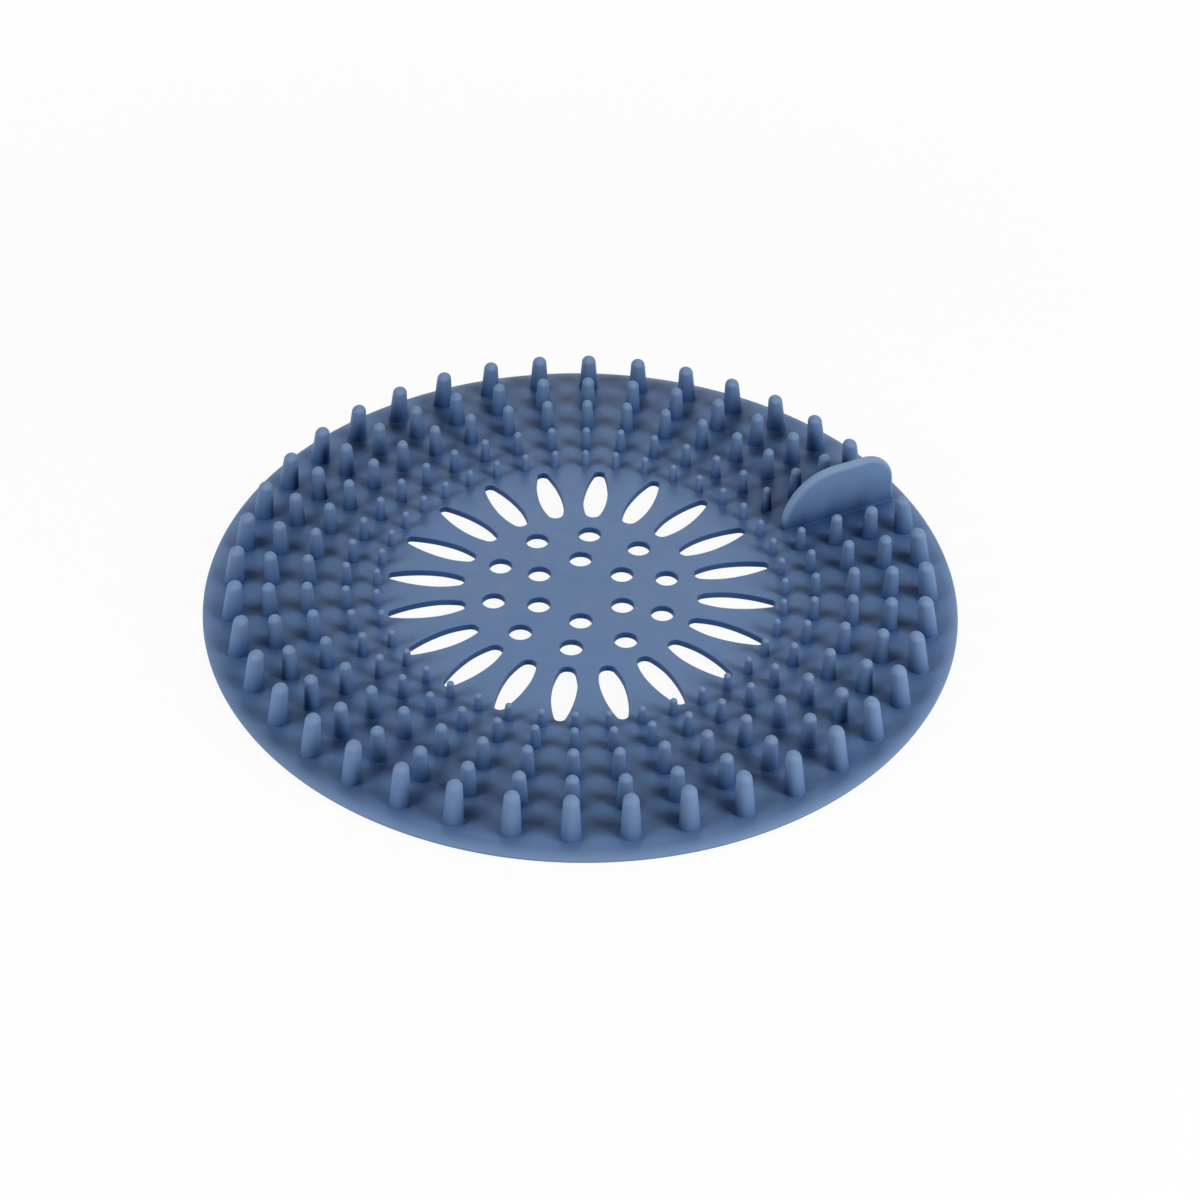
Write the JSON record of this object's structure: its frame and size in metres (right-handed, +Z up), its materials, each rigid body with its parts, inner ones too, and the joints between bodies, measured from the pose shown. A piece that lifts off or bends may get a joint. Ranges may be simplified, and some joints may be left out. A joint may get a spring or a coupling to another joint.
{
  "type": "drain hair catcher",
  "caption": "Flat round silicone drain strainer with petal slots and round holes in its middle, rings of bristles that catch hair, a bare rim and an upright lift tab.",
  "frame": {"origin": "centre of the flat underside, on the floor of the sink or shower", "axes": "+Z up, square to the disc; +X from the centre towards the lift tab"},
  "size_m": [0.13, 0.13, 0.0119],
  "materials": {
    "silicone": "satin dusty-blue moulded silicone"
  },
  "bodies": {
    "disc": {"drain_plate": "silicone", "bristle_bed": "silicone", "outer_rim": "silicone", "outer_bristles": "silicone", "second_bristles": "silicone", "middle_bristles": "silicone", "fourth_bristles": "silicone", "inner_bristles": "silicone"},
    "tab": {"lift_tab": "silicone"}
  },
  "joints": [
    {"name": "tab_flex", "type": "hinge", "parent": "disc", "child": "tab", "pos_m": [0.0509, 0, 0.0014], "axis": [1, 0, 0], "range_deg": [-30, 30], "stiffness_Nm_per_rad": 0.004}
  ]
}
